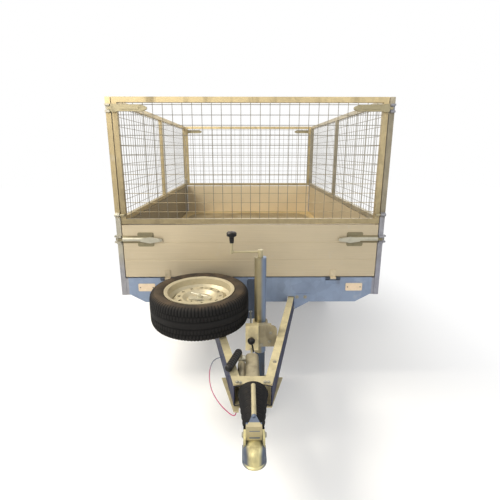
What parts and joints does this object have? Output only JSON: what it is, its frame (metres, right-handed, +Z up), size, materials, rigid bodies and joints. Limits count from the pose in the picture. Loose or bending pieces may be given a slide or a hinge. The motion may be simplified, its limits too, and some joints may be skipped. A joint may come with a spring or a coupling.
{
  "type": "utility trailer",
  "caption": "Single-axle braked flat-bed utility trailer with drop boards, a folding mesh cage, jockey wheel and spare wheel on the drawbar.",
  "frame": {"origin": "centre of the bounding box at ground level, under the middle of the trailer", "axes": "+X to the side, +Y to the rear, +Z up; the coupling is at -Y"},
  "size_m": [1.598, 3.722, 1.67],
  "materials": {
    "galvanised": "zinc coated steel, dulled",
    "bed_steel": "blue-grey steel, weathered",
    "board_aluminium": "dull extruded sheet",
    "floor_wood": "film-faced plywood",
    "tyre": "worn rubber",
    "rim_steel": "silver",
    "zinc": "zinc plated",
    "cast": "cast",
    "rubber": "black rubber",
    "black_plastic": "black",
    "lamp": "red lens",
    "plate": "blank white plate",
    "reflector": "pale reflector",
    "cable": "red coated cable"
  },
  "bodies": {
    "chassis": {"front_crossmember": "bed_steel", "rear_crossmember": "bed_steel", "side_rails": "bed_steel", "floor_bearers": "bed_steel", "floor": "floor_wood", "corner_posts": "galvanised", "board_hinges": "galvanised", "latch_keepers": "galvanised", "cage_side_left": "galvanised", "cage_side_right": "galvanised", "cage_brackets": "galvanised", "axle_beam": "galvanised", "swing_arms": "galvanised", "mudguards": "black_plastic", "drawbar_arms": "bed_steel", "drawbar_gussets": "bed_steel", "drawbar_plate": "galvanised", "overrun_housing": "cast", "overrun_shaft": "zinc", "overrun_gaiter": "rubber", "coupling_head": "galvanised", "coupling_handle": "galvanised", "handbrake_lever": "galvanised", "handbrake_grip": "rubber", "handbrake_spring": "galvanised", "brake_rod": "zinc", "jockey_outer_tube": "zinc", "jockey_bracket": "galvanised", "jockey_clamp_lever": "black_plastic", "jockey_crank": "zinc", "crank_knob": "black_plastic", "rear_lamp_cases": "black_plastic", "rear_lamps": "lamp", "number_plate": "plate", "front_reflectors": "reflector", "spare_tyre": "tyre", "spare_rim": "rim_steel", "spare_carrier": "galvanised", "breakaway_cable": "cable"},
    "front_board": {"front_board": "board_aluminium", "front_board_fittings": "galvanised"},
    "tailgate": {"tailgate": "board_aluminium", "tailgate_fittings": "galvanised"},
    "side_board_left": {"side_board_left": "board_aluminium", "side_board_left_fittings": "galvanised"},
    "side_board_right": {"side_board_right": "board_aluminium", "side_board_right_fittings": "galvanised"},
    "front_mesh": {"front_mesh": "galvanised", "front_mesh_fittings": "galvanised"},
    "rear_mesh": {"rear_mesh": "galvanised", "rear_mesh_fittings": "galvanised"},
    "wheel_left": {"tyre_left": "tyre", "rim_left": "rim_steel", "drum_left": "cast"},
    "wheel_right": {"tyre_right": "tyre", "rim_right": "rim_steel", "drum_right": "cast"},
    "jockey_leg": {"jockey_inner_tube": "zinc"},
    "jockey_caster": {"jockey_fork": "zinc"},
    "jockey_roller": {"jockey_wheel": "tyre"}
  },
  "joints": [
    {"name": "front_board_hinge", "type": "hinge", "parent": "chassis", "child": "front_board", "pos_m": [0, -0.711, 0.655], "axis": [1, 0, 0], "range_deg": [0, 30]},
    {"name": "tailgate_hinge", "type": "hinge", "parent": "chassis", "child": "tailgate", "pos_m": [0, 1.847, 0.655], "axis": [-1, 0, 0], "range_deg": [0, 180]},
    {"name": "side_board_left_hinge", "type": "hinge", "parent": "chassis", "child": "side_board_left", "pos_m": [-0.785, 0.568, 0.655], "axis": [0, -1, 0], "range_deg": [0, 180]},
    {"name": "side_board_right_hinge", "type": "hinge", "parent": "chassis", "child": "side_board_right", "pos_m": [0.785, 0.568, 0.655], "axis": [0, 1, 0], "range_deg": [0, 180]},
    {"name": "front_mesh_hinge", "type": "hinge", "parent": "chassis", "child": "front_mesh", "pos_m": [0, -0.711, 1.037], "axis": [1, 0, 0], "range_deg": [0, 80]},
    {"name": "rear_mesh_hinge", "type": "hinge", "parent": "chassis", "child": "rear_mesh", "pos_m": [0, 1.847, 1.037], "axis": [-1, 0, 0], "range_deg": [0, 160]},
    {"name": "wheel_left_spin", "type": "hinge", "parent": "chassis", "child": "wheel_left", "pos_m": [-0.66, 0.649, 0.2565], "axis": [1, 0, 0], "continuous": true},
    {"name": "wheel_right_spin", "type": "hinge", "parent": "chassis", "child": "wheel_right", "pos_m": [0.66, 0.649, 0.2565], "axis": [1, 0, 0], "continuous": true},
    {"name": "jockey_slide", "type": "slide", "parent": "chassis", "child": "jockey_leg", "axis": [0, 0, 1], "range_m": [-0.12, 0.1]},
    {"name": "jockey_swivel", "type": "hinge", "parent": "jockey_leg", "child": "jockey_caster", "pos_m": [0.044, -1.086, 0.232], "axis": [0, 0, 1], "continuous": true},
    {"name": "jockey_roll", "type": "hinge", "parent": "jockey_caster", "child": "jockey_roller", "pos_m": [0.044, -1.051, 0.105], "axis": [1, 0, 0], "continuous": true}
  ]
}
